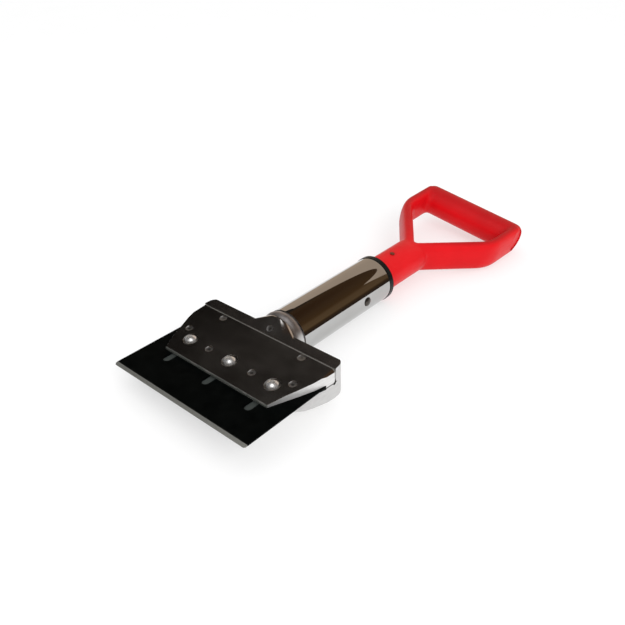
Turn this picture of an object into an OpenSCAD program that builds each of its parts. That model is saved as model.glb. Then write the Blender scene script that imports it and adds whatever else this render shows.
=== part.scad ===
// Algae scraper: a wide blade clamped in a two-jaw head, a short plated tube
// and a D-shaped grip. Millimetres. X runs along the handle from the blade to
// the grip, Y across the blade, Z up from the blade's face. The origin lies on
// the handle's axis, half-way along the tool.

/* [Blade] */
// Width of the blade, across the cutting edge
blade_width = 152.4; // [151:0.1:154]
// Depth of the blade, from the cutting edge to its back edge
blade_depth = 86; // [80:0.5:86.5]
// Thickness of the blade
blade_thickness = 1.2; // [0.8:0.1:1.4]
// Width of the ground bevel on the cutting edge
bevel_width = 3; // [1:0.5:5]
// Thickness left at the very edge
edge_thickness = 0.3; // [0.1:0.05:0.6]
// Width of each screw slot, open at the blade's back edge
slot_width = 7; // [6.6:0.1:8]
// Distance from the cutting edge to the front end of a slot
slot_front = 28; // [26:0.5:32]
// Height of the blade's upper face above the handle's axis
blade_height = 2.9; // [2:0.1:4]

/* [Head] */
// Distance from the cutting edge to the front of the upper jaw
jaw_front = 39; // [36:0.5:42]
// Half of the upper jaw's width at its front edge
jaw_front_half = 59; // [56:0.5:62]
// Half of the head's width at the rear
jaw_rear_half = 76.4; // [76.3:0.1:79]
// Distance from the cutting edge to the joint between jaw and body
joint_line = 98; // [97:0.5:99]
// Distance from the cutting edge to the back of the head
head_back = 109.4; // [108:0.2:110]
// Thickness of the upper jaw at its front edge
jaw_front_thickness = 2.4; // [2:0.1:3]
// Thickness of the upper jaw where its front bevel ends
jaw_crease_thickness = 5; // [4.5:0.1:5.5]
// Thickness of the upper jaw at its rear edge
jaw_rear_thickness = 10.2; // [9.8:0.1:10.6]
// Height of the head's rear edge above the blade's upper face
rib_height = 10.8; // [10.4:0.1:12]
// Depth of the lower jaw below the blade's upper face, at the back
lower_jaw_depth = 17.6; // [17:0.2:20]

/* [Clamp screws] */
// Spacing of the three clamp screws
screw_spacing = 47.8; // [46:0.2:48.4]
// Distance from the cutting edge to the clamp screws
screw_line = 57.2; // [56:0.2:58]
// Nominal diameter of the clamp screw's thread
screw_d = 6; // [5:0.5:6]
// Diameter of the screw's domed head
screw_head_d = 9.6; // [9:0.2:10]
// Diameter of the washer under the head
washer_d = 13; // [12:0.2:13.4]
// Thickness of the washer
washer_thickness = 1.2; // [1:0.1:1.4]

/* [Handle] */
// Outside diameter of the plated tube
tube_d = 44.45; // [44:0.05:45]
// Wall of the plated tube
tube_wall = 1.5; // [1.2:0.1:1.6]
// Distance from the cutting edge to the tube's front end
tube_front = 123.4; // [122:0.2:125]
// Distance from the cutting edge to the tube's rear end
tube_back = 243; // [242:0.5:244]
// Outside diameter of the inner core tube
core_d = 29; // [28.6:0.1:29.2]
// Wall of the inner core tube
core_wall = 2.5; // [2:0.1:3]
// Outside diameter of the black end ferrule
ferrule_d = 45.4; // [45:0.1:47]
// Distance from the cutting edge to the snap button
button_line = 208.3; // [206:0.5:210]
// Diameter of the snap button
button_d = 8; // [7:0.1:9]

/* [Grip] */
// Diameter of the grip's cross bar
bar_d = 32; // [31:0.5:33]
// Overall width of the grip
grip_width = 120; // [116:1:124]
// Distance from the cutting edge to the bar's axis
bar_line = 426.7; // [424:0.1:428]
// Outside diameter of the grip's neck
neck_d = 35.7; // [35:0.1:35.8]
// Thickness of each arm, seen from above
arm_thickness = 12; // [9:0.5:13]
// Angle between each arm and the handle's axis
arm_angle = 37; // [36:0.5:38]
// Turn of the grip about the handle's axis
grip_roll = 10.2; // [9:0.1:11]

/* [Hidden] */

$fn = 96;
hull_fn = 32;
gap = 0.05;          // working gap between sliding faces
cut = 1;             // how far a cutter runs past a face

tool_length = bar_line + bar_d / 2;
zb = blade_height;                    // blade's upper face
seat_z = zb - blade_thickness - gap;  // lower jaw's blade seat
heel_z = zb - 2.4;                    // where the upper jaw's heel rests
relief_z = zb - 3.8;                  // clearance floor behind the blade seat
heel_front = blade_depth + 1.2;       // front of the heel
belly_front = 68;                     // front of the head's flat underside
belly_rise = 1.8;                     // how much higher it is there than at the back
belly_r = 9;                          // rounding of the head's rear bottom edge
seat_back = 72;                       // rear end of the blade seat
lower_front = 28;                     // front of the lower jaw
lower_front_half = 55;                // half of its width there
crease_line = 52;                     // end of the upper jaw's front bevel
corner_r = 7.5;                       // rounding of the head's rear corners
screw_rows = [1, 0, -1];              // left, middle and right screw

set_screw_d = 6.8;                    // flush set screws over the blade
set_screw_inner = [screw_line + 0.4, 25];
set_screw_outer = [screw_line + 9.3, 60.4];
dowel_at = [92.6, 45.6];
dowel_d = 6.8;
dowel_depth = 8;                      // how deep a dowel sits in the body
counterbore_depth = 2.6;              // below the jaw's face at the screw line

neck_half = 28;                       // half of the neck's width where it leaves the rib
neck_slope = 39;                      // slope of the neck's front face
plug_seat = [103.8, 0, zb + 12.1];    // middle of the plug in that face
neck_plug_d = 6;
neck_plug_depth = 6;
collar_front = 113.4;
collar_d = tube_d + 1.2;
spigot_back = 156;
spigot_d = tube_d - 2 * tube_wall - 0.1;
spigot_screw_line = 138;
spigot_screw_d = 5;
spigot_head_d = 9.4;

tube_bore = tube_d - 2 * tube_wall;
core_front = 172;
core_back = 300;
core_bore = core_d - 2 * core_wall;
sleeve_d = tube_bore - 0.1;
sleeve_back = 222;
core_pin_line = 184;
core_pin_d = 4;
ferrule_lip = 7;                      // visible length of the ferrule
ferrule_spigot = 14;                  // length hidden inside the tube
ferrule_socket = 5;                   // depth at which the grip's neck enters

button_stand = 1.6;                   // how far the button stands proud
button_dome_r = 8;
flange_d = 13.6;
flange_thickness = 1.6;
flange_seat = core_bore / 2 - 2.4;    // outer face of the flange, from the axis
clip_width = 8;
clip_thickness = 0.8;
clip_length = 36;

rivet_line = 272;
rivet_d = 4.6;
arm_height = 29;                      // height of each arm
arm_root = 305.4;                     // where the arms' centre lines meet
bend_r = 46;                          // bend where an arm turns to the bar
neck_back = 308;                      // where the neck opens into the two arms
bar_corner_r = 7;                     // rounding of the bar's ends, seen from above
plug_d = 20;
plug_depth = 3;

// Places a shape that is measured from the cutting edge and the handle's axis
module from_edge() {
    translate([-tool_length / 2, 0, 0]) children();
}

// A closed outline, half of which is given by points with y > 0
function mirrored(half) =
    concat(half, [for (i = [len(half) - 1:-1:0]) [half[i][0], -half[i][1]]]);

function arc(cx, cy, r, a0, a1, n) =
    [for (i = [0:n]) let (a = a0 + (a1 - a0) * i / n) [cx + r * cos(a), cy + r * sin(a)]];

// Half of the head's outline from above, from its front corner to its rear corner
function head_half(front_x, front_half) = concat(
    [[front_x, front_half], [62.5, 68], [76, 72.9], [88, jaw_rear_half - 0.6], [96, jaw_rear_half]],
    arc(head_back - corner_r, jaw_rear_half - 0.7 - corner_r, corner_r, 80, 0, 8)
);

// The upper jaw's upper face, as a height at distance x from the cutting edge
function jaw_slope() =
    (jaw_rear_thickness - jaw_crease_thickness) / (joint_line - crease_line);
function jaw_top(x) = zb + jaw_crease_thickness + (x - crease_line) * jaw_slope();

module across(half_width) {
    rotate([90, 0, 0]) linear_extrude(height = 2 * half_width, center = true) children();
}

module head_plan(front_x, front_half) {
    translate([0, 0, -40]) linear_extrude(height = 80) polygon(mirrored(head_half(front_x, front_half)));
}

module screw_positions() {
    for (i = screw_rows) translate([screw_line, i * screw_spacing, 0]) children();
}

// The four small set screws, each bearing on the blade beside a clamp screw
module set_screw_positions() {
    for (s = [-1, 1], p = [set_screw_inner, set_screw_outer])
        translate([p[0], s * p[1], 0]) children();
}

module dowel_positions() {
    for (s = [-1, 1]) translate([dowel_at[0], s * dowel_at[1], 0]) children();
}

module in_neck_face() {
    translate(plug_seat) rotate([0, -neck_slope, 0]) children();
}

// Lower jaw, rear rib, neck and spigot in one casting
module head_body() {
    bottom = zb - lower_jaw_depth;
    top = zb + rib_height;
    color([0.72, 0.71, 0.7]) from_edge() difference() {
        union() {
            intersection() {
                head_plan(lower_front, lower_front_half);
                across(90) union() {
                    difference() {
                        polygon([
                            [lower_front, seat_z], [seat_back, seat_z],
                            [seat_back, relief_z], [heel_front, relief_z],
                            [heel_front, heel_z], [joint_line, heel_z],
                            [joint_line, zb + jaw_rear_thickness],
                            [head_back - 0.9, top], [head_back, top - 0.9],
                            each arc(head_back - belly_r, bottom + belly_r, belly_r, 0, -84, 8),
                            [belly_front, bottom + belly_rise], [lower_front, seat_z - 1.5]
                        ]);
                        translate([joint_line - 1.6, heel_z]) circle(r = 1.8, $fn = 48);
                    }
                }
            }
            hull() {
                translate([head_back - 6, -neck_half, bottom + 5])
                    cube([1, 2 * neck_half, lower_jaw_depth + rib_height - 7]);
                translate([joint_line + 2, -neck_half + 8, bottom + 5])
                    cube([1, 2 * neck_half - 16, lower_jaw_depth + rib_height - 6]);
                translate([collar_front - 1, 0, 0]) rotate([0, 90, 0])
                    cylinder(d = tube_d - 0.6, h = 1, $fn = hull_fn);
            }
            translate([collar_front - 2, 0, 0]) rotate([0, 90, 0])
                cylinder(d = spigot_d, h = spigot_back - collar_front + 2);
        }
        screw_positions() translate([0, 0, -40]) cylinder(d = screw_d, h = 80);
        dowel_positions() translate([0, 0, heel_z - dowel_depth]) cylinder(d = dowel_d, h = 40);
        translate([spigot_screw_line, 0, 0]) rotate([180, 0, 0])
            cylinder(d = spigot_screw_d, h = tube_d);
        translate([collar_front + 8, 0, 0]) rotate([0, 90, 0])
            cylinder(d = 30, h = spigot_back);
        in_neck_face() translate([0, 0, -neck_plug_depth])
            cylinder(d = neck_plug_d, h = 2 * neck_plug_depth);
    }
}

// Clamp plate over the blade, with its heel on the body
module upper_jaw() {
    jaw_z = zb + gap;
    color([0.3, 0.27, 0.25]) from_edge() difference() {
        intersection() {
            head_plan(jaw_front, jaw_front_half);
            across(90) polygon([
                [jaw_front, jaw_z], [heel_front, jaw_z], [heel_front, heel_z],
                [joint_line - 3, heel_z], [joint_line - 0.1, heel_z + 3],
                [joint_line - 0.1, zb + jaw_rear_thickness - 0.5],
                [joint_line - 0.6, jaw_top(joint_line - 0.6)],
                [crease_line, zb + jaw_crease_thickness],
                [jaw_front + 0.5, zb + jaw_front_thickness],
                [jaw_front, zb + jaw_front_thickness - 0.5]
            ]);
        }
        for (s = [-1, 1]) translate([90, s * (jaw_rear_half + 1.3), zb + jaw_rear_thickness])
            rotate([s * 45, 0, s * 4]) cube([26, 6, 6], center = true);
        screw_positions() cylinder(d = screw_d + 0.6, h = 40);
        screw_positions() translate([0, 0, jaw_top(screw_line) - counterbore_depth])
            cylinder(d = washer_d + 0.4, h = 40);
        set_screw_positions() cylinder(d = set_screw_d, h = 40);
        dowel_positions() translate([0, 0, -40]) cylinder(d = dowel_d + 2 * gap, h = 80);
    }
}

// Flat blade with three slots open at the back and a bevel ground from above
module blade() {
    color([0.03, 0.03, 0.03]) from_edge() difference() {
        across(blade_width / 2) polygon([
            [0, zb - blade_thickness], [blade_depth, zb - blade_thickness], [blade_depth, zb],
            [bevel_width, zb], [0, zb - blade_thickness + edge_thickness]
        ]);
        for (i = screw_rows) translate([slot_front + slot_width / 2, i * screw_spacing, 0]) {
            translate([0, 0, -cut]) cylinder(d = slot_width, h = 10);
            translate([0, -slot_width / 2, -cut]) cube([blade_depth, slot_width, 10]);
        }
        for (s = [-1, 1]) translate([0, s * blade_width / 2, 0])
            rotate([0, 0, 45]) cube([1.8, 1.8, 20], center = true);
    }
}

// Domed clamp screw with a hexagon socket
module clamp_screw(row) {
    head_z = jaw_top(screw_line) - counterbore_depth + washer_thickness;
    head_h = 4;
    dome_r = 7.2;
    color([0.86, 0.86, 0.86]) from_edge() translate([screw_line, row * screw_spacing, 0])
        difference() {
            union() {
                translate([0, 0, zb - 15]) cylinder(d = screw_d - 0.1, h = 15.5 + head_z - zb);
                intersection() {
                    translate([0, 0, head_z]) cylinder(d = screw_head_d, h = head_h);
                    translate([0, 0, head_z + head_h - dome_r]) sphere(r = dome_r);
                }
            }
            translate([0, 0, head_z + head_h - 2.2]) cylinder(d = 4.6, h = 10, $fn = 6);
        }
}

// Captive washer that lifts with its screw
module clamp_washer(row) {
    color([0.55, 0.54, 0.52]) from_edge()
        translate([screw_line, row * screw_spacing, jaw_top(screw_line) - counterbore_depth])
            difference() {
                cylinder(d = washer_d, h = washer_thickness);
                translate([0, 0, -cut]) cylinder(d = screw_d + 0.1, h = 10);
            }
}

// Flush set screws that bear on the blade
module blade_set_screws() {
    color([0.45, 0.44, 0.42]) from_edge() for (s = [-1, 1], p = [set_screw_inner, set_screw_outer])
        translate([p[0], s * p[1], zb + gap]) difference() {
            cylinder(d = set_screw_d, h = jaw_top(p[0]) - zb - 0.7);
            translate([0, 0, jaw_top(p[0]) - zb - 2.7]) cylinder(d = 3.4, h = 10, $fn = 6);
        }
}

// Flush dowels that locate the upper jaw's heel on the body
module jaw_dowels() {
    top = jaw_top(dowel_at[0]) - 0.5;
    color([0.5, 0.49, 0.47]) from_edge() dowel_positions() difference() {
        translate([0, 0, heel_z - dowel_depth])
            cylinder(d = dowel_d, h = top - heel_z + dowel_depth);
        translate([0, 0, top - 0.8]) cylinder(d = 2.4, h = 10);
    }
}

// Flush screwed plug in the sloping front face of the neck
module neck_plug() {
    color([0.5, 0.49, 0.47]) from_edge() in_neck_face() difference() {
        translate([0, 0, -neck_plug_depth]) cylinder(d = neck_plug_d, h = neck_plug_depth - 0.3);
        translate([0, 0, -2.4]) cylinder(d = 3.2, h = 5, $fn = 6);
    }
}

// Rounded ring between the neck and the tube
module collar_ring() {
    ring = tube_front - collar_front;
    color([0.8, 0.78, 0.77]) from_edge() translate([collar_front, 0, 0]) rotate([0, 90, 0])
        rotate_extrude() difference() {
            union() {
                translate([spigot_d / 2, 0]) square([(collar_d - spigot_d) / 2 - 2, ring]);
                intersection() {
                    translate([collar_d / 2 - 7, ring / 2]) circle(r = 7);
                    translate([spigot_d / 2, 0]) square([8, ring]);
                }
            }
            translate([0, -cut]) square([spigot_d / 2, ring + 2 * cut]);
        }
}

// Plated tube over the spigot, with the button's hole in its side
module handle_tube() {
    color([0.75, 0.74, 0.72]) from_edge() difference() {
        translate([tube_front, 0, 0]) rotate([0, 90, 0])
            cylinder(d = tube_d, h = tube_back - tube_front);
        translate([tube_front - cut, 0, 0]) rotate([0, 90, 0])
            cylinder(d = tube_bore, h = tube_back);
        translate([button_line, 0, 0]) rotate([90, 0, 0])
            cylinder(d = button_d + 0.8, h = tube_d);
        translate([spigot_screw_line, 0, 0]) rotate([180, 0, 0])
            cylinder(d = spigot_head_d + 0.2, h = tube_d);
    }
}

// Screw up through the tube's underside into the spigot
module spigot_screw() {
    reach = 8;
    color([0.6, 0.6, 0.6]) from_edge() translate([spigot_screw_line, 0, 0]) rotate([180, 0, 0])
        difference() {
            union() {
                translate([0, 0, spigot_d / 2 + 0.3]) cylinder(d = spigot_head_d, h = 1.6);
                translate([0, 0, spigot_d / 2 - reach]) cylinder(d = spigot_screw_d, h = reach + 1);
            }
            translate([0, 0, spigot_d / 2 + 0.9]) cylinder(d = 3.6, h = 5, $fn = 6);
        }
}

// Inner tube that joins the grip to the plated tube
module core_tube() {
    color([0.78, 0.79, 0.8]) from_edge() difference() {
        translate([core_front, 0, 0]) rotate([0, 90, 0])
            cylinder(d = core_d, h = core_back - core_front);
        translate([core_front - cut, 0, 0]) rotate([0, 90, 0])
            cylinder(d = core_bore, h = core_back);
        translate([button_line, 0, 0]) rotate([90, 0, 0])
            cylinder(d = button_d + 0.2, h = tube_d);
        translate([core_pin_line, 0, 0]) cylinder(d = core_pin_d, h = tube_d, center = true);
        rotate([grip_roll, 0, 0]) translate([rivet_line, 0, 0])
            cylinder(d = rivet_d - 0.6, h = tube_d);
    }
}

// Plastic sleeve that centres the core tube in the plated tube
module core_sleeve() {
    color([0.12, 0.12, 0.13]) from_edge() difference() {
        translate([core_front, 0, 0]) rotate([0, 90, 0])
            cylinder(d = sleeve_d, h = sleeve_back - core_front);
        translate([core_front - cut, 0, 0]) rotate([0, 90, 0])
            cylinder(d = core_d + 0.02, h = tube_back);
        translate([button_line, 0, 0]) rotate([90, 0, 0])
            cylinder(d = button_d + 0.2, h = tube_d);
        translate([core_pin_line, 0, 0]) cylinder(d = core_pin_d, h = tube_d, center = true);
    }
}

// Cross pin that fixes the sleeve to the core tube
module core_pin() {
    color([0.6, 0.6, 0.6]) from_edge() translate([core_pin_line, 0, 0])
        cylinder(d = core_pin_d, h = sleeve_d - 2, center = true);
}

// Black ring that closes the tube's rear end round the grip's neck
module end_ferrule() {
    color([0.05, 0.06, 0.06]) from_edge() difference() {
        union() {
            translate([tube_back, 0, 0]) rotate([0, 90, 0]) rotate_extrude() polygon([
                [0, 0], [ferrule_d / 2 - 0.8, 0], [ferrule_d / 2, 0.8],
                [ferrule_d / 2, ferrule_lip - 1.6], [ferrule_d / 2 - 1.6, ferrule_lip], [0, ferrule_lip]
            ]);
            translate([tube_back - ferrule_spigot, 0, 0]) rotate([0, 90, 0])
                cylinder(d = sleeve_d, h = ferrule_spigot + cut);
        }
        translate([tube_back - 2 * ferrule_spigot, 0, 0]) rotate([0, 90, 0])
            cylinder(d = core_d + 0.02, h = 60);
        translate([tube_back + ferrule_lip - ferrule_socket, 0, 0]) rotate([0, 90, 0])
            cylinder(d = neck_d + 0.02, h = 20);
    }
}

// Domed button in the side of the tube, with a flange inside the core tube
module snap_button() {
    tip = tube_d / 2 + button_stand;
    color([0.7, 0.69, 0.68]) from_edge() translate([button_line, 0, 0]) rotate([90, 0, 0]) {
        intersection() {
            translate([0, 0, flange_seat - 0.5]) cylinder(d = button_d, h = tip - flange_seat + 0.5);
            translate([0, 0, tip - button_dome_r]) sphere(r = button_dome_r);
        }
        translate([0, 0, flange_seat - flange_thickness])
            cylinder(d = flange_d, h = flange_thickness);
    }
}

// A bent strip of even thickness along a list of points
module strip(points, thickness) {
    for (i = [0:len(points) - 2]) {
        run = points[i + 1] - points[i];
        translate(points[i]) rotate(atan2(run[1], run[0])) translate([0, -thickness / 2])
            square([norm(run), thickness]);
    }
    for (p = points) translate(p) circle(d = thickness, $fn = 24);
}

// Folded leaf spring inside the core tube, pressing the button out
module button_clip() {
    near = -(flange_seat - flange_thickness - clip_thickness / 2);
    far = 10.6;
    color([0.5, 0.5, 0.52]) from_edge() translate([button_line, 0, 0])
        linear_extrude(height = clip_width, center = true)
            strip([[-6, near], [7, near], [clip_length, 1.5], [clip_length + 2, 3],
                [clip_length, 4.5], [2, far], [-6, far]], clip_thickness);
}

// Plan of one arm about its centre line: straight, bend, then the bar's end
module arm_plan() {
    rise = grip_width / 2 - arm_thickness / 2;
    straight_end = arm_root + rise / tan(arm_angle);
    tangent = bend_r * tan(arm_angle / 2);
    bend_x = straight_end + tangent;
    translate([arm_root, 0]) rotate(arm_angle)
        translate([0, -arm_thickness / 2])
            square([rise / sin(arm_angle) - tangent + 0.2, arm_thickness]);
    intersection() {
        difference() {
            translate([bend_x, rise - bend_r]) circle(r = bend_r + arm_thickness / 2);
            translate([bend_x, rise - bend_r]) circle(r = bend_r - arm_thickness / 2);
        }
        translate([bend_x, rise - bend_r])
            polygon([[0, 0], [0, 2 * bend_r], [-2 * bend_r * tan(arm_angle), 2 * bend_r]]);
    }
    translate([bend_x - 0.2, rise - arm_thickness / 2])
        square([bar_line - bend_x + 0.2, arm_thickness]);
}

// Outline of the whole grip from above, with rounded corners at the bar's ends
module grip_envelope() {
    back = bar_line + bar_d / 2;
    half = grip_width / 2;
    linear_extrude(height = 60, center = true) polygon(mirrored(concat(
        [[tube_back, half]],
        arc(back - bar_corner_r, half - bar_corner_r, bar_corner_r, 90, 0, 12)
    )));
}

// One-piece moulded grip: neck, two arms and the cross bar
module grip() {
    neck_start = tube_back + ferrule_lip - ferrule_socket + 0.1;
    color([0.85, 0.09, 0.11]) from_edge() rotate([grip_roll, 0, 0]) difference() {
        intersection() {
            grip_envelope();
            union() {
                translate([neck_start, 0, 0]) rotate([0, 90, 0])
                    cylinder(d = neck_d, h = neck_back - neck_start);
                hull() {
                    translate([neck_back - 14, 0, 0]) rotate([0, 90, 0])
                        cylinder(d = neck_d, h = 1, $fn = hull_fn);
                    translate([neck_back + 4, -14, -arm_height / 2 + 1])
                        cube([1, 28, arm_height - 2]);
                }
                linear_extrude(height = arm_height, center = true) {
                    arm_plan();
                    mirror([0, 1]) arm_plan();
                }
                translate([bar_line, 0, 0]) rotate([90, 0, 0])
                    cylinder(d = bar_d, h = grip_width, center = true);
            }
        }
        translate([neck_start - cut, 0, 0]) rotate([0, 90, 0])
            cylinder(d = core_d + 0.02, h = core_back - neck_start + cut + 0.2);
        translate([rivet_line, 0, 0]) cylinder(d = rivet_d - 0.6, h = tube_d);
        for (s = [-1, 1]) translate([bar_line, s * (grip_width / 2 + cut), 0]) rotate([s * 90, 0, 0])
            cylinder(d = plug_d, h = 26 + cut);
    }
}

// Rivet through the top of the grip's neck into the core tube
module grip_rivet() {
    color([0.55, 0.5, 0.3]) from_edge() rotate([grip_roll, 0, 0]) translate([rivet_line, 0, 0])
        union() {
            translate([0, 0, core_bore / 2 - 1])
                cylinder(d = rivet_d - 0.6, h = (neck_d - core_bore) / 2 + 1.2);
            translate([0, 0, neck_d / 2]) cylinder(d = rivet_d, h = 0.6);
        }
}

// Plugs that close the two hollow ends of the cross bar
module bar_plugs() {
    color([0.75, 0.07, 0.09]) from_edge() rotate([grip_roll, 0, 0])
        for (s = [-1, 1]) translate([bar_line, s * (grip_width / 2 - plug_depth), 0])
            rotate([s * 90, 0, 0]) difference() {
                cylinder(d = plug_d, h = 14);
                translate([0, 0, 3]) cylinder(d = plug_d - 5, h = 20);
            }
}

head_body();
upper_jaw();
blade();
clamp_screw(1);  // clamp_screw_left
clamp_screw(0);  // clamp_screw_middle
clamp_screw(-1);  // clamp_screw_right
clamp_washer(1);  // clamp_washer_left
clamp_washer(0);  // clamp_washer_middle
clamp_washer(-1);  // clamp_washer_right
blade_set_screws();
jaw_dowels();
neck_plug();
collar_ring();
handle_tube();
spigot_screw();
core_tube();
core_sleeve();
core_pin();
end_ferrule();
snap_button();
button_clip();
grip();
grip_rivet();
bar_plugs();
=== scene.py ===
"""Algae scraper: surfaces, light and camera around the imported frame. Lengths are in metres.

X runs along the handle from the blade to the grip, Y across the blade, Z up from the blade's
face. The tool lies on its collar and tube and on the low end of the grip's bar.
"""

import math

import bmesh
import bpy
from mathutils import Matrix, Vector


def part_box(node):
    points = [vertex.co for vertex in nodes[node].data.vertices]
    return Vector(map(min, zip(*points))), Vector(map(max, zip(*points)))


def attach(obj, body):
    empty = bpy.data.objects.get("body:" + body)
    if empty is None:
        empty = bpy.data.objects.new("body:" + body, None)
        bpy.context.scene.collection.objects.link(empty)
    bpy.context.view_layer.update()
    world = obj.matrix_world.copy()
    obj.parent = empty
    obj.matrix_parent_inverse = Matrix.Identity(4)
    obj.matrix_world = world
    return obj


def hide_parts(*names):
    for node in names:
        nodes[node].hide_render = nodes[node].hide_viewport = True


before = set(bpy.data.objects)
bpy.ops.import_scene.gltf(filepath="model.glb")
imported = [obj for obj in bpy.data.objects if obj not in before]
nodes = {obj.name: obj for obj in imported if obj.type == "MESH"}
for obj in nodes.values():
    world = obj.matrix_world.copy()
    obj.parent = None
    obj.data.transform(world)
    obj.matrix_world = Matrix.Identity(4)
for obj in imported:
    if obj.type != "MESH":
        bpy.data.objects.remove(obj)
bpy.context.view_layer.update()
MM = 0.001

HEAD_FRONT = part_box("head_body")[0].x
JAW_LO, JAW_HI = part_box("upper_jaw")
BLADE_LO, BLADE_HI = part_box("blade")
GRIP_LO, GRIP_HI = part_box("grip")
TUBE_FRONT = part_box("handle_tube")[0].x
COLLAR_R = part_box("collar_ring")[1].z

# how the tool lies, in degrees, and the floor's clearance and half width
LIE_ROLL = 3.6  # roll that brings the bar's low end down to the floor
FLOOR_GAP = 0.2 * MM
FLOOR_REACH = 30.0

# the grip about the handle's axis, in degrees and millimetres
GRIP_ROLL = 10.2
GRIP_WIDTH = 122
BAR_D = 32
BAR_CORNER_R = 8.5
PLUG_D = 20
PLUG_DEPTH = 17
SOCKET_D = 25  # wider mouth of the plug's hole
SOCKET_DEPTH = 3
NECK_D = 35.7
CORE_R = 14.51
CORE_DEPTH = 53.4
ARM_ANGLE = 37  # from the handle's axis, along the straight part of an arm
ARM_FLARE = 1.5  # the same where an arm meets the bar
ARM_REACH = 122.8  # from the arms' meeting point to the bar's axis
ARM_THICKNESS = 13
ARM_HEIGHT = 32.5
ARM_PROUD = 0.9  # how far an arm stands out past the bar's end
BEND_R = 38
BEND_STEPS = 12
FILLET_R = 4
VOXEL = 0.9
RUN_OUT = 2  # how far a cutter runs past a face
ROUND = 2.0  # outline power of a true circle
ROUND_SIDES = 64

# the camera that matches the photograph: degrees, metres and millimetres of lens
CAMERA_AZIMUTH = 42.48
CAMERA_ELEVATION = -32.35
CAMERA_ROLL = -1.8
CAMERA_PLACE = (-0.44405, -0.3475, 0.3307)
CAMERA_LENS = 39.41
CAMERA_SENSOR = 36.0

# metal tones, linear
FAR_SIDE_DARK = (0.04, 0.035, 0.032)
GRIME = (0.05, 0.047, 0.044)
SEAT_GREY = (0.050, 0.056, 0.053)
HEAD_SAWN = (0.56, 0.555, 0.55)
JAW_SAWN = (0.70, 0.695, 0.69)
# the jaw's edge bands: partly rubbed wear, partly a painted edge highlight
JAW_REAR_WEAR_AND_HIGHLIGHT = (0.17, 0.165, 0.15)
JAW_FRONT_WEAR_AND_HIGHLIGHT = (0.075, 0.08, 0.072)

X_AXIS, Y_AXIS, Z_AXIS = Vector((1, 0, 0)), Vector((0, 1, 0)), Vector((0, 0, 1))


# ---------------------------------------------------------------- node materials


class Surface:
    """One procedural material, with its patterns laid out in millimetres on the part itself."""

    def __init__(self, name, color, metallic=0.0, roughness=0.4, **sockets):
        self.material = bpy.data.materials.new(name)
        self.material.use_nodes = True
        self.tree = self.material.node_tree
        self.shader = self.tree.nodes["Principled BSDF"]
        self.set("Base Color", (*color, 1.0))
        self.set("Metallic", metallic)
        self.set("Roughness", roughness)
        for socket, value in sockets.items():
            self.set(socket.replace("_", " "), value)
        self.place = self.tree.nodes.new("ShaderNodeTexCoord").outputs["Object"]
        self.last_bump = None

    def set(self, socket, value):
        """Sets a constant on the shader's own socket."""
        self.shader.inputs[socket].default_value = value

    def node(self, kind, inputs=(), **settings):
        """Adds a node. Each input is a number, a colour or another node's socket."""
        made = self.tree.nodes.new(kind)
        for key, value in settings.items():
            setattr(made, key, value)
        for key, value in dict(inputs).items():
            if isinstance(value, bpy.types.NodeSocket):
                self.tree.links.new(value, made.inputs[key])
            else:
                made.inputs[key].default_value = value
        return made

    def link(self, value, socket):
        self.tree.links.new(value, self.shader.inputs[socket])

    def noise(self, size_mm, stretch=(1, 1, 1), detail=4.0, rough=0.55):
        """Noise whose spots are about size_mm across, drawn out along an axis by stretch."""
        scale = [1 / (MM * size_mm * s) for s in stretch]
        laid = self.node("ShaderNodeMapping", {"Vector": self.place, "Scale": scale})
        made = self.node(
            "ShaderNodeTexNoise",
            {"Vector": laid.outputs[0], "Scale": 1.0, "Detail": detail, "Roughness": rough},
        )
        return made.outputs["Fac"]

    def remap(self, value, low, high, to_low=0.0, to_high=1.0):
        """Takes low..high to to_low..to_high, and holds the ends."""
        made = self.node(
            "ShaderNodeMapRange",
            {0: value, 1: low, 2: high, 3: to_low, 4: to_high},
            clamp=True,
        )
        return made.outputs[0]

    def axis(self, index):
        """The X, Y or Z coordinate in metres."""
        return self.node("ShaderNodeSeparateXYZ", {0: self.place}).outputs[index]

    def normal(self, index):
        """The part's own X, Y or Z component of the surface's direction."""
        out = self.tree.nodes.new("ShaderNodeTexCoord").outputs["Normal"]
        return self.node("ShaderNodeSeparateXYZ", {0: out}).outputs[index]

    def math(self, operation, a, b=0.0):
        return self.node("ShaderNodeMath", {0: a, 1: b}, operation=operation).outputs[0]

    def both(self, *factors):
        """The product of several factors."""
        product = factors[0]
        for factor in factors[1:]:
            product = self.math("MULTIPLY", product, factor)
        return product

    def blend(self, factor, first, second):
        """A plain number that goes from first to second."""
        return self.node("ShaderNodeMix", {"Factor": factor, 2: first, 3: second}).outputs[0]

    def mix(self, factor, first, second):
        """First where factor is 0, second where it is 1. Each is a colour or a socket."""
        made = self.node("ShaderNodeMix", {"Factor": factor}, data_type="RGBA")
        for socket, value in ((6, first), (7, second)):
            if isinstance(value, bpy.types.NodeSocket):
                self.tree.links.new(value, made.inputs[socket])
            else:
                made.inputs[socket].default_value = (*value, 1.0)
        return made.outputs[2]

    def band(self, value, low, high, soft):
        """1 where value lies between low and high, fading out over soft."""
        rise = self.remap(value, low - soft, low)
        return self.both(rise, self.remap(value, high, high + soft, 1, 0))

    def sideways(self):
        """1 on faces that look along Y."""
        return self.remap(self.math("ABSOLUTE", self.normal(1)), 0.75, 0.9)

    def wear(self, where, color, metallic):
        """Lays a layer over the colour and metallic inputs already linked."""
        for socket, combine, layer in (("Base Color", self.mix, color),
                                       ("Metallic", self.blend, metallic)):
            under = self.shader.inputs[socket].links[0].from_socket
            self.link(combine(where, under, layer), socket)

    def bump(self, height, depth_mm, strength):
        """Adds a layer of relief over the layers before it."""
        made = self.node(
            "ShaderNodeBump",
            {"Strength": strength, "Distance": depth_mm * MM, "Height": height},
        )
        if self.last_bump is not None:
            self.tree.links.new(self.last_bump, made.inputs["Normal"])
        self.last_bump = made.outputs[0]
        self.link(self.last_bump, "Normal")


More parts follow.
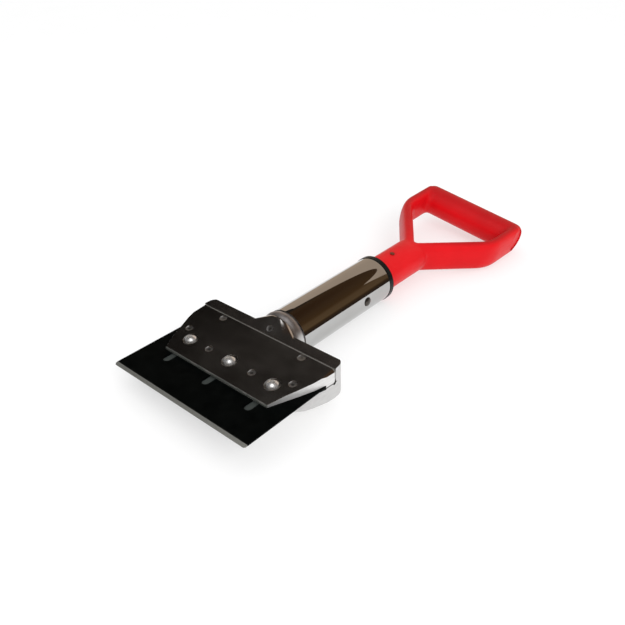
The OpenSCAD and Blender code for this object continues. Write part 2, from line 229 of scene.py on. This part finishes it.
def scaled(color, factor):
    """A colour made darker or lighter."""
    return tuple(c * factor for c in color)


def sawn_sides(s, polish_color, polish_roughness, bare, front_x, front_shade):
    """Bare sawn metal on the upright sides: pale, matt and lined, with painted shade that greys it
    toward the blade.
    """
    upright = s.remap(s.math("ABSOLUTE", s.normal(2)), 0.35, 0.6, 1, 0)
    sawn = s.both(upright, s.sideways())
    streak = s.noise(1.2, (14, 1, 1), 4)
    pale = s.mix(s.remap(streak, 0.35, 0.7), bare, scaled(bare, 0.86))
    # painted shade: the sawn end darkens toward the blade
    front = s.remap(s.axis(0), front_x, front_x + 26 * MM, 1, 0)
    side = s.mix(front, pale, scaled(bare, front_shade))
    s.link(s.mix(sawn, polish_color, side), "Base Color")
    s.link(s.remap(sawn, 0, 1, 1.0, 0.45), "Metallic")
    s.link(s.blend(sawn, polish_roughness, 0.42), "Roughness")


def far_side_darkening(s, color):
    """Darkens a colour toward the far side, in ragged patches."""
    drift = s.remap(s.noise(18, detail=5), 0.3, 0.7, -12 * MM, 12 * MM)
    ragged = s.math("ADD", s.axis(1), drift)
    return s.mix(s.remap(ragged, 2 * MM, 55 * MM, 0.0, 0.5), color, FAR_SIDE_DARK)


def blade_seat(s):
    """The matt ground seat under the blade, which shows through the blade's slots."""
    level = s.remap(s.axis(2), BLADE_LO.z + 0.2 * MM, BLADE_LO.z + 0.4 * MM, 1, 0)
    return s.both(level, s.remap(s.normal(2), 0.8, 0.95))


def heel_line(s):
    """Grime in the joint between the upper jaw's heel and the head, on the end faces."""
    across = s.band(s.axis(2), JAW_LO.z - 0.45 * MM, JAW_LO.z + 0.45 * MM, 0.15 * MM)
    along = s.band(s.axis(0), BLADE_HI.x, JAW_HI.x + 1.5 * MM, 0.5 * MM)
    return s.both(across, along, s.sideways())


def polished_casting(name, bright, worn, roughness):
    """Polished steel casting: smears in the polish, hair scratches, a sandy underside."""
    s = Surface(name, bright, 1.0, roughness)
    smear = s.noise(14, (1.6, 1, 1), 5)
    color = far_side_darkening(s, s.mix(s.remap(smear, 0.35, 0.7), bright, worn))
    under = s.remap(s.normal(2), -0.9, -0.4, 1, 0)
    polish = s.remap(smear, 0.3, 0.75, roughness, roughness + 0.12)
    rough = s.math("ADD", polish, s.both(under, 0.22))
    sawn_sides(s, color, rough, HEAD_SAWN, HEAD_FRONT, 0.8)
    s.wear(blade_seat(s), SEAT_GREY, 0.1)
    s.wear(heel_line(s), GRIME, 0.2)
    s.bump(s.noise(0.5, (1, 40, 40), 2), 0.006, 0.5)
    s.bump(s.both(s.noise(0.9, detail=3), under), 0.08, 0.8)
    return s.material


def lapped_jaw(name, bright, dark, roughness):
    """Clamp plate: lapped face with fine cross lines, bare sawn ends, edges partly rubbed bright
    and partly given a painted edge highlight.
    """
    s = Surface(name, bright, 1.0, roughness)
    stain = s.noise(22, (1, 1.8, 1), 6, 0.65)
    nick = s.remap(s.noise(2.5, (1, 5, 1), 4), 0.25, 0.5)
    face = far_side_darkening(s, s.mix(s.remap(stain, 0.35, 0.7), dark, bright))
    rough = s.remap(stain, 0.3, 0.75, roughness, roughness + 0.1)
    sawn_sides(s, face, rough, JAW_SAWN, JAW_LO.x, 0.42)
    rear = s.band(s.axis(0), JAW_HI.x - 1.3 * MM, JAW_HI.x, 0.3 * MM)
    front = s.band(s.axis(0), JAW_LO.x, JAW_LO.x + 0.7 * MM, 0.3 * MM)
    # rubbed edges plus a painted highlight along the top face's rear and front edges
    s.wear(s.both(rear, nick), JAW_REAR_WEAR_AND_HIGHLIGHT, 0.35)
    s.wear(s.both(front, nick), JAW_FRONT_WEAR_AND_HIGHLIGHT, 0.3)
    s.wear(heel_line(s), GRIME, 0.2)
    s.bump(s.noise(0.35, (1, 60, 60), 3), 0.008, 0.6)
    return s.material


def blackened_blade():
    """Black-oxide steel with a bare, stone-ground bevel along the cutting edge."""
    s = Surface("blade_black_oxide", (0.0012, 0.0016, 0.0015), 0.0, 0.42)
    edge = BLADE_LO.x + 2.7 * MM
    ground = s.remap(s.axis(0), edge, edge + 0.5 * MM, 1, 0)
    blotch = s.noise(9, detail=6)
    oxide = s.mix(s.remap(blotch, 0.3, 0.8), (0.0006, 0.0010, 0.0009), (0.0020, 0.0026, 0.0024))
    steel = s.mix(s.noise(0.6, (30, 1, 1), 3), (0.24, 0.24, 0.22), (0.40, 0.40, 0.37))
    s.link(s.mix(ground, oxide, steel), "Base Color")
    s.link(s.both(ground, 0.75), "Metallic")
    s.link(s.remap(blotch, 0.3, 0.8, 0.36, 0.5), "Roughness")
    s.set("Specular IOR Level", 0.02)
    s.bump(s.noise(0.25, (40, 1, 1), 2), 0.01, 0.7)
    return s.material


def mirror_plate():
    """Bright plating: faint lengthwise draw lines and a few smudges."""
    s = Surface("tube_mirror_chrome", (0.46, 0.46, 0.455), 1.0, 0.03)
    smudge = s.noise(26, (2.5, 1, 1), 5)
    plate = s.mix(s.remap(smudge, 0.4, 0.75), (0.47, 0.47, 0.465), (0.42, 0.415, 0.40))
    s.link(plate, "Base Color")
    s.link(s.remap(smudge, 0.45, 0.8, 0.025, 0.09), "Roughness")
    s.bump(s.noise(1.6, (90, 1, 1), 3), 0.004, 0.25)
    return s.material


def turned_steel(name, color, roughness, tone=0.75, metallic=1.0):
    """Small turned fastener: tight machining marks and a slightly mottled shine."""
    s = Surface(name, color, metallic, roughness)
    mottle = s.noise(2.2, detail=4)
    s.link(s.mix(s.remap(mottle, 0.35, 0.7), color, scaled(color, tone)), "Base Color")
    s.link(s.remap(mottle, 0.3, 0.7, roughness, roughness + 0.12), "Roughness")
    s.bump(s.noise(0.18, (1, 1, 6), 2), 0.008, 0.5)
    return s.material


def moulded_plastic(name, color, deep, roughness):
    """Injection-moulded plastic: satin grain, slow colour drift, fine scuffs. Painted shade: on the
    grip's stretch toward the bar, faces that look up or to the far side are darker."""
    s = Surface(name, color, 0.0, roughness, Specular_IOR_Level=0.14)
    drift = s.noise(30, detail=3)
    up_or_far_faces = s.math("MAXIMUM", s.remap(s.normal(2), 0.35, 1.0), s.remap(s.normal(1), 0.1, 0.9))
    toward_bar = s.remap(s.axis(0), GRIP_LO.x + 60 * MM, GRIP_LO.x + 105 * MM)
    # painted shade: darkens the grip's top and far side toward the bar
    painted_shade = s.both(toward_bar, up_or_far_faces, s.remap(drift, 0.2, 0.6, 0.75, 1.0))
    shade = s.mix(s.remap(drift, 0.35, 0.7), color, deep)
    s.link(s.mix(painted_shade, shade, scaled(deep, 0.66)), "Base Color")
    scuff = s.noise(1.4, (12, 1, 1), 3)
    s.link(s.remap(scuff, 0.5, 0.75, roughness, roughness + 0.12), "Roughness")
    s.bump(s.noise(0.5, detail=3), 0.02, 0.6)
    return s.material


def paint(node, material):
    """Gives a CAD node its material."""
    slots = nodes[node].data.materials
    for i in range(len(slots)):
        slots[i] = material
    nodes[node].material_slots[0].material = material


def dress_frame():
    """Gives every node of the frame its material, and returns the grip's."""
    steel = polished_casting("head_polished_steel", (0.62, 0.60, 0.585), (0.52, 0.50, 0.48), 0.1)
    jaw = lapped_jaw("jaw_lapped_steel", (0.50, 0.48, 0.45), (0.38, 0.36, 0.335), 0.12)
    collar = polished_casting("collar_polished_steel", (0.52, 0.49, 0.48), (0.30, 0.28, 0.28), 0.46)
    bright = turned_steel("screw_bright_steel", (0.92, 0.92, 0.91), 0.22, 0.85, 0.86)
    washer = turned_steel("washer_dull_steel", (0.5, 0.49, 0.47), 0.26)
    dull = turned_steel("fastener_dull_steel", (0.40, 0.40, 0.395), 0.34)
    black = moulded_plastic("ferrule_black_plastic", (0.006, 0.008, 0.008),
                            (0.004, 0.005, 0.005), 0.24)
    red = moulded_plastic("grip_red_plastic", (0.65, 0.0042, 0.008), (0.60, 0.0036, 0.007), 0.36)
    table = {
        steel: ["head_body"],
        jaw: ["upper_jaw"],
        blackened_blade(): ["blade"],
        bright: ["clamp_screw_left", "clamp_screw_middle", "clamp_screw_right"],
        turned_steel("button_dark_steel", (0.09, 0.08, 0.07), 0.3): ["snap_button"],
        washer: ["clamp_washer_left", "clamp_washer_middle", "clamp_washer_right"],
        dull: ["blade_set_screws", "jaw_dowels", "neck_plug", "spigot_screw", "core_pin",
               "button_clip"],
        collar: ["collar_ring"],
        mirror_plate(): ["handle_tube"],
        turned_steel("core_drawn_aluminium", (0.8, 0.8, 0.81), 0.25): ["core_tube"],
        black: ["core_sleeve", "end_ferrule"],
        red: ["grip", "bar_plugs"],
        turned_steel("rivet_copper", (0.36, 0.12, 0.08), 0.4): ["grip_rivet"],
    }
    for material, names in table.items():
        for name in names:
            paint(name, material)
    return red


# ---------------------------------------------------------------- shape


def soften_edges(node, width_mm):
    """Rounds a node's sharp edges with modifiers, and leaves its mesh as it is."""
    o = nodes[node]
    weld = o.modifiers.new("weld", "WELD")
    weld.merge_threshold = 0.004 * MM
    flat = o.modifiers.new("flat_faces", "DECIMATE")
    flat.decimate_type = "DISSOLVE"
    flat.angle_limit = math.radians(0.4)
    round_ = o.modifiers.new("round_edges", "BEVEL")
    round_.width = width_mm * MM
    round_.segments = 3
    round_.limit_method = "ANGLE"
    round_.angle_limit = math.radians(28)
    round_.use_clamp_overlap = True
    even = o.modifiers.new("even_normals", "WEIGHTED_NORMAL")
    even.keep_sharp = False
    even.weight = 80


def oval(half_width, half_height, power, count=40):
    """A rounded-rectangle outline, an ellipse when power is 2."""
    points = []
    for i in range(count):
        a = 2 * math.pi * i / count
        c, s = math.cos(a), math.sin(a)
        points.append((math.copysign(abs(c) ** (2 / power), c) * half_width,
                       math.copysign(abs(s) ** (2 / power), s) * half_height))
    return points


def loft(bm, sections):
    """Skins a row of outlines, each (centre, side axis, up axis, outline), and caps both ends."""
    rings = []
    for centre, side, up, outline in sections:
        rings.append([bm.verts.new(centre + side * u + up * v) for u, v in outline])
    for first, second in zip(rings, rings[1:]):
        for i in range(len(first)):
            j = (i + 1) % len(first)
            bm.faces.new((first[i], first[j], second[j], second[i]))
    bm.faces.new(rings[0][::-1])
    bm.faces.new(rings[-1])


def swept(points, outline):
    """One outline along a path in the grip's plane, square to the path at each point."""
    sections = []
    for i, point in enumerate(points):
        ahead = points[min(i + 1, len(points) - 1)]
        behind = points[max(i - 1, 0)]
        run = (ahead - behind).normalized()
        sections.append((point, Vector((-run.y, run.x, 0)), Z_AXIS, outline))
    return sections


def neck_sections(root_x):
    """Round at the ferrule, flattening where the neck opens into the arms."""
    radius = NECK_D / 2 * MM
    shape = [
        (GRIP_LO.x, 1, 1, ROUND),
        (root_x - 14 * MM, 1, 1, ROUND),
        (root_x - 5 * MM, 1.01, 0.96, 2.1),
        (root_x + 4 * MM, 1, 0.9, 2.3),
        (root_x + 9 * MM, 0.92, 0.84, 2.4),
    ]
    return [(Vector((x, 0, 0)), Y_AXIS, Z_AXIS, oval(radius * w, radius * h, power))
            for x, w, h, power in shape]


def arm_path(half):
    """One arm's centre line from the arms' meeting point: straight, then a wide bend that leaves
    it opening a little up to the bar's end."""
    out = half - (ARM_THICKNESS / 2 - ARM_PROUD) * MM
    slope, flare = math.radians(ARM_ANGLE), math.radians(ARM_FLARE)
    reach, bend = ARM_REACH * MM, BEND_R * MM
    along = Vector((math.cos(slope), math.sin(slope), 0))
    corner_x = (out - reach * math.tan(flare)) / (math.tan(slope) - math.tan(flare))
    corner = Vector((corner_x, corner_x * math.tan(slope), 0))
    start = corner - along * bend * math.tan((slope - flare) / 2)
    centre = start + Vector((along.y, -along.x, 0)) * bend
    path = [along * d * MM for d in (2, 14, 28)]
    for i in range(BEND_STEPS + 1):
        a = slope + (flare - slope) * i / BEND_STEPS
        path.append(centre + Vector((-math.sin(a), math.cos(a), 0)) * bend)
    path.append(Vector((reach, out, 0)))
    return path


def bar_sections(bar_x, half):
    """The cross bar, a round bar with rounded ends."""
    corner = BAR_CORNER_R * MM
    rim = []
    for degrees in range(0, 91, 15):
        a = math.radians(degrees)
        rim.append((half - corner * (1 - math.sin(a)),
                    BAR_D / 2 * MM - corner * (1 - math.cos(a))))
    profile = [(-y, r) for y, r in reversed(rim)] + rim
    return [(Vector((bar_x, y, 0)), X_AXIS, Z_AXIS, oval(r, r, ROUND, ROUND_SIDES))
            for y, r in profile]


def moulded_grip(material):
    """The D-shaped grip as one smooth moulding: oval arms that run into the cross bar."""
    roll = Matrix.Rotation(math.radians(GRIP_ROLL), 4, "X")
    bar_x = GRIP_HI.x - BAR_D / 2 * MM
    half = GRIP_WIDTH / 2 * MM
    root = Vector((bar_x - ARM_REACH * MM, 0, 0))
    bm = bmesh.new()
    loft(bm, neck_sections(root.x))
    arm = oval(ARM_THICKNESS / 2 * MM, ARM_HEIGHT / 2 * MM, 2.4)
    for s in (-1, 1):
        loft(bm, swept([root + Vector((q.x, q.y * s, 0)) for q in arm_path(half)], arm))
    loft(bm, bar_sections(bar_x, half))
    bmesh.ops.recalc_face_normals(bm, faces=bm.faces)
    bm.transform(roll)
    o = piece("grip_moulding", bm, material)
    settle(o, rounds=10)

    # the moulding's hollows: the core's bore and the bar's two end sockets
    bore = bmesh.new()
    core_start = Vector((GRIP_LO.x - RUN_OUT * MM, 0, 0))
    cut_round(bore, core_start, X_AXIS, CORE_R, CORE_DEPTH, roll)
    for s in (-1, 1):
        end = Vector((bar_x, s * (half + RUN_OUT * MM), 0))
        cut_round(bore, end, -s * Y_AXIS, PLUG_D / 2, PLUG_DEPTH, roll)
        cut_round(bore, end, -s * Y_AXIS, SOCKET_D / 2, SOCKET_DEPTH, roll)
    carve(o, bore)
    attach(o, "head")
    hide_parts("grip")


def cut_round(bm, start, axis, radius_mm, depth_mm, turn):
    """A round cutter that starts outside the face and goes depth_mm past it, then is turned."""
    side = axis.orthogonal().normalized()
    spin = turn.to_3x3()
    across, up = spin @ side, spin @ axis.cross(side)
    outline = oval(radius_mm * MM, radius_mm * MM, ROUND, ROUND_SIDES)
    end = start + axis * (depth_mm + RUN_OUT) * MM
    loft(bm, [(turn @ point, across, up, outline) for point in (start, end)])


def piece(name, bm, material):
    """A mesh object made from a bmesh, which is used up."""
    mesh = bpy.data.meshes.new(name)
    bm.to_mesh(mesh)
    bm.free()
    mesh.materials.append(material)
    o = bpy.data.objects.new(name, mesh)
    bpy.context.scene.collection.objects.link(o)
    return o


def apply_all(o):
    """Applies an object's modifiers to its mesh."""
    graph = bpy.context.evaluated_depsgraph_get()
    made = bpy.data.meshes.new_from_object(o.evaluated_get(graph))
    o.modifiers.clear()
    old = o.data
    o.data = made
    bpy.data.meshes.remove(old)


def settle(o, rounds):
    """Joins overlapping solids into one skin, swells and shrinks it to fill the inside corners
    with fillets, then relaxes it."""
    for swell in (FILLET_R, -FILLET_R, None):
        remesh = o.modifiers.new("remesh", "REMESH")
        remesh.mode = "VOXEL"
        remesh.voxel_size = VOXEL * MM
        if swell:
            grow = o.modifiers.new("grow", "DISPLACE")
            grow.direction = "NORMAL"
            grow.mid_level = 0.0
            grow.strength = swell * MM
    smooth = o.modifiers.new("smooth", "SMOOTH")
    smooth.factor = 0.5
    smooth.iterations = rounds
    apply_all(o)
    o.data.shade_smooth()


def carve(o, bm):
    """Cuts a set of solids out of a piece."""
    bmesh.ops.recalc_face_normals(bm, faces=bm.faces)
    cutter = piece("cutter", bm, o.data.materials[0])
    cut = o.modifiers.new("carve", "BOOLEAN")
    cut.operation = "DIFFERENCE"
    cut.solver = "EXACT"
    cut.object = cutter
    apply_all(o)
    bpy.data.objects.remove(cutter)
    o.data.shade_smooth()
    o.data.set_sharp_from_angle(angle=math.radians(38))


# ---------------------------------------------------------------- floor, light, camera


def rest_plane():
    """Where the tool stands: a point of the floor under the collar, and the floor's upward side."""
    lie = math.radians(LIE_ROLL)
    up = Vector((0, -math.sin(lie), math.cos(lie)))
    return Vector((TUBE_FRONT, 0, 0)) - up * COLLAR_R, up


def board(name, corners, material):
    """A flat piece of the stage."""
    mesh = bpy.data.meshes.new(name)
    mesh.from_pydata([tuple(c) for c in corners], [], [tuple(range(len(corners)))])
    mesh.materials.append(material)
    o = bpy.data.objects.new(name, mesh)
    bpy.context.scene.collection.objects.link(o)
    return o


def floor():
    """A plain white floor that glows a little, so that shadows on it stay faint."""
    place, up = rest_plane()
    s = Surface("floor_white", (0.46, 0.46, 0.46), 0.0, 0.9, Specular_IOR_Level=0.0)
    s.link(s.mix(s.noise(60), (0.47, 0.47, 0.47), (0.45, 0.45, 0.45)), "Base Color")
    s.set("Emission Color", (1.0, 1.0, 1.0, 1.0))
    s.set("Emission Strength", 0.52)
    along = Vector((up.z, 0, -up.x)).normalized()
    across = up.cross(along)
    corners = [place + along * a * FLOOR_REACH + across * b * FLOOR_REACH
               for a, b in ((-1, -1), (1, -1), (1, 1), (-1, 1))]
    o = board("floor", corners, s.material)
    o.location = -up * FLOOR_GAP


def glow(name, color, strength):
    """A material that only gives out light."""
    m = bpy.data.materials.new(name)
    m.use_nodes = True
    m.node_tree.nodes.clear()
    out = m.node_tree.nodes.new("ShaderNodeOutputMaterial")
    emit = m.node_tree.nodes.new("ShaderNodeEmission")
    emit.inputs["Color"].default_value = (*color, 1.0)
    emit.inputs["Strength"].default_value = strength
    m.node_tree.links.new(emit.outputs[0], out.inputs["Surface"])
    return m


def reflection_card(name, corners, color, strength):
    """A studio card that only polished metal sees."""
    o = board(name, corners, glow(name, color, strength))
    o.visible_camera = False
    o.visible_diffuse = False
    o.visible_shadow = False
    o.visible_transmission = False


# the dim room that polished metal sees: height of the direction, and its colour
ROOM = (
    (0.0, (0.050, 0.028, 0.012)),
    (0.08, (0.080, 0.045, 0.020)),
    (0.15, (0.150, 0.092, 0.046)),
    (0.38, (0.140, 0.084, 0.041)),
    (0.50, (0.085, 0.045, 0.018)),
    (0.70, (0.070, 0.038, 0.018)),
    (0.80, (0.050, 0.024, 0.011)),
    (1.0, (0.040, 0.030, 0.024)),
)
ROOM_FAR = (0.022, 0.0185, 0.016)  # the same, toward the far side


def room():
    """World light: soft white for matt surfaces and the backdrop, a dim brown room for polish."""
    world = bpy.data.worlds.new("studio")
    bpy.context.scene.world = world
    world.use_nodes = True
    tree = world.node_tree
    tree.nodes.clear()
    new, link = tree.nodes.new, tree.links.new
    split = new("ShaderNodeSeparateXYZ")
    link(new("ShaderNodeTexCoord").outputs["Generated"], split.inputs[0])

    ramp = new("ShaderNodeValToRGB")
    link(split.outputs["Z"], ramp.inputs[0])
    elements = ramp.color_ramp.elements
    for place, _ in ROOM[1:-1]:
        elements.new(place)
    for element, (place, color) in zip(elements, ROOM):
        element.position = place
        element.color = (*color, 1.0)

    side = new("ShaderNodeMapRange")
    link(split.outputs["Y"], side.inputs[0])
    side.inputs[1].default_value = 0.3
    side.inputs[2].default_value = 0.5
    far = new("ShaderNodeMix")
    far.data_type = "RGBA"
    link(side.outputs[0], far.inputs["Factor"])
    link(ramp.outputs[0], far.inputs[6])
    far.inputs[7].default_value = (*ROOM_FAR, 1.0)

    dim = new("ShaderNodeBackground")
    link(far.outputs[2], dim.inputs[0])
    soft = new("ShaderNodeBackground")
    soft.inputs[0].default_value = (1.0, 1.0, 1.0, 1.0)
    soft.inputs[1].default_value = 1.0
    mix = new("ShaderNodeMixShader")
    link(new("ShaderNodeLightPath").outputs["Is Glossy Ray"], mix.inputs[0])
    link(soft.outputs[0], mix.inputs[1])
    link(dim.outputs[0], mix.inputs[2])
    link(mix.outputs[0], new("ShaderNodeOutputWorld").inputs["Surface"])


def soft_box(name, place, aim, size, power):
    """An area light that polished metal doesn't reflect."""
    lamp = bpy.data.lights.new(name, "AREA")
    lamp.shape = "RECTANGLE"
    lamp.size, lamp.size_y = size
    lamp.energy = power
    o = bpy.data.objects.new(name, lamp)
    bpy.context.scene.collection.objects.link(o)
    o.location = place
    o.rotation_euler = (Vector(aim) - Vector(place)).to_track_quat("-Z", "Y").to_euler()
    o.visible_glossy = False


def lights():
    """The studio: the room, one soft key light and three cards for the polished metal."""
    room()
    soft_box("key", (-0.5, -1.2, 0.9), (0.05, 0, 0), (1.0, 0.8), 10.0)
    # the light band along the top of the tube
    far_wall = [(-0.25, -0.05), (1.6, -0.05), (1.6, 0.34), (0.42, 0.34), (0.31, 0.408),
                (-0.25, 0.233)]
    reflection_card("far_wall_card", [(0.29, y, z) for y, z in far_wall], (0.56, 0.44, 0.34), 1.0)
    # the thin dark line low on the tube
    near_wall = [(-0.03, -0.025), (0.25, -0.025), (0.25, 0.013), (-0.03, 0.013)]
    reflection_card("near_wall_card", [(x, -0.16, z) for x, z in near_wall],
                    (0.045, 0.028, 0.018), 1.0)
    # the highlight on the screws' domes
    overhead = [(-0.6, -0.38), (0.04, -0.38), (0.04, 0.28), (-0.6, 0.28)]
    reflection_card("overhead_card", [(x, y, 0.9) for x, y in overhead], (1.0, 1.0, 1.0), 1.5)


def camera():
    """Looks down the handle from the blade's left front corner."""
    azimuth, elevation = math.radians(CAMERA_AZIMUTH), math.radians(CAMERA_ELEVATION)
    roll = math.radians(CAMERA_ROLL)
    data = bpy.data.cameras.new("camera")
    data.lens = CAMERA_LENS
    data.sensor_width = CAMERA_SENSOR
    data.clip_start, data.clip_end = 0.01, 100
    o = bpy.data.objects.new("camera", data)
    bpy.context.scene.collection.objects.link(o)
    forward = Vector((math.cos(azimuth) * math.cos(elevation),
                      math.sin(azimuth) * math.cos(elevation), math.sin(elevation)))
    side = forward.cross(Z_AXIS).normalized()
    up = side.cross(forward)
    right = side * math.cos(roll) + up * math.sin(roll)
    up = right.cross(forward)
    turn = Matrix((right, up, -forward)).transposed()
    o.matrix_world = Matrix.Translation(CAMERA_PLACE) @ turn.to_4x4()
    bpy.context.scene.camera = o


# ---------------------------------------------------------------- the scene

bpy.context.scene.view_settings.view_transform = "Standard"
red_plastic = dress_frame()
for part, radius_mm in (("head_body", 0.7), ("upper_jaw", 0.45)):
    soften_edges(part, radius_mm)
moulded_grip(red_plastic)
floor()
lights()
camera()
